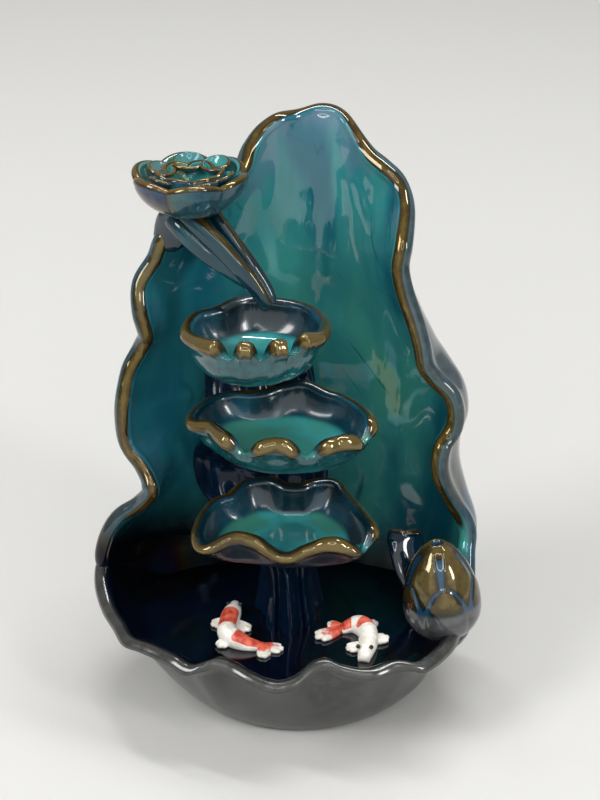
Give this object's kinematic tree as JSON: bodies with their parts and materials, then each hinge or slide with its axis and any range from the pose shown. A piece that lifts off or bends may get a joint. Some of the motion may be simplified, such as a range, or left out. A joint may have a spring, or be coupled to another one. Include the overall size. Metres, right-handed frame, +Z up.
{
  "type": "backflow incense burner",
  "caption": "Tall glazed leaf over a round basin, with ruffled cups that pass falling incense smoke down from a lotus, and a bud that holds a stick.",
  "frame": {"origin": "middle of the flat foot, on the table", "axes": "+Z up, the open side of the leaf and the basin's front face -Y, the bud is on +X"},
  "size_m": [0.1321, 0.1026, 0.196],
  "materials": {
    "glaze": "thick glossy teal glaze that thins to bronze on every edge, black with a satin sheen on the basin",
    "painted_koi": "semi-matt white with red-orange brushed markings"
  },
  "bodies": {
    "root": {"ceramic_burner": "glaze", "koi_left": "painted_koi", "koi_right": "painted_koi"}
  },
  "joints": []
}
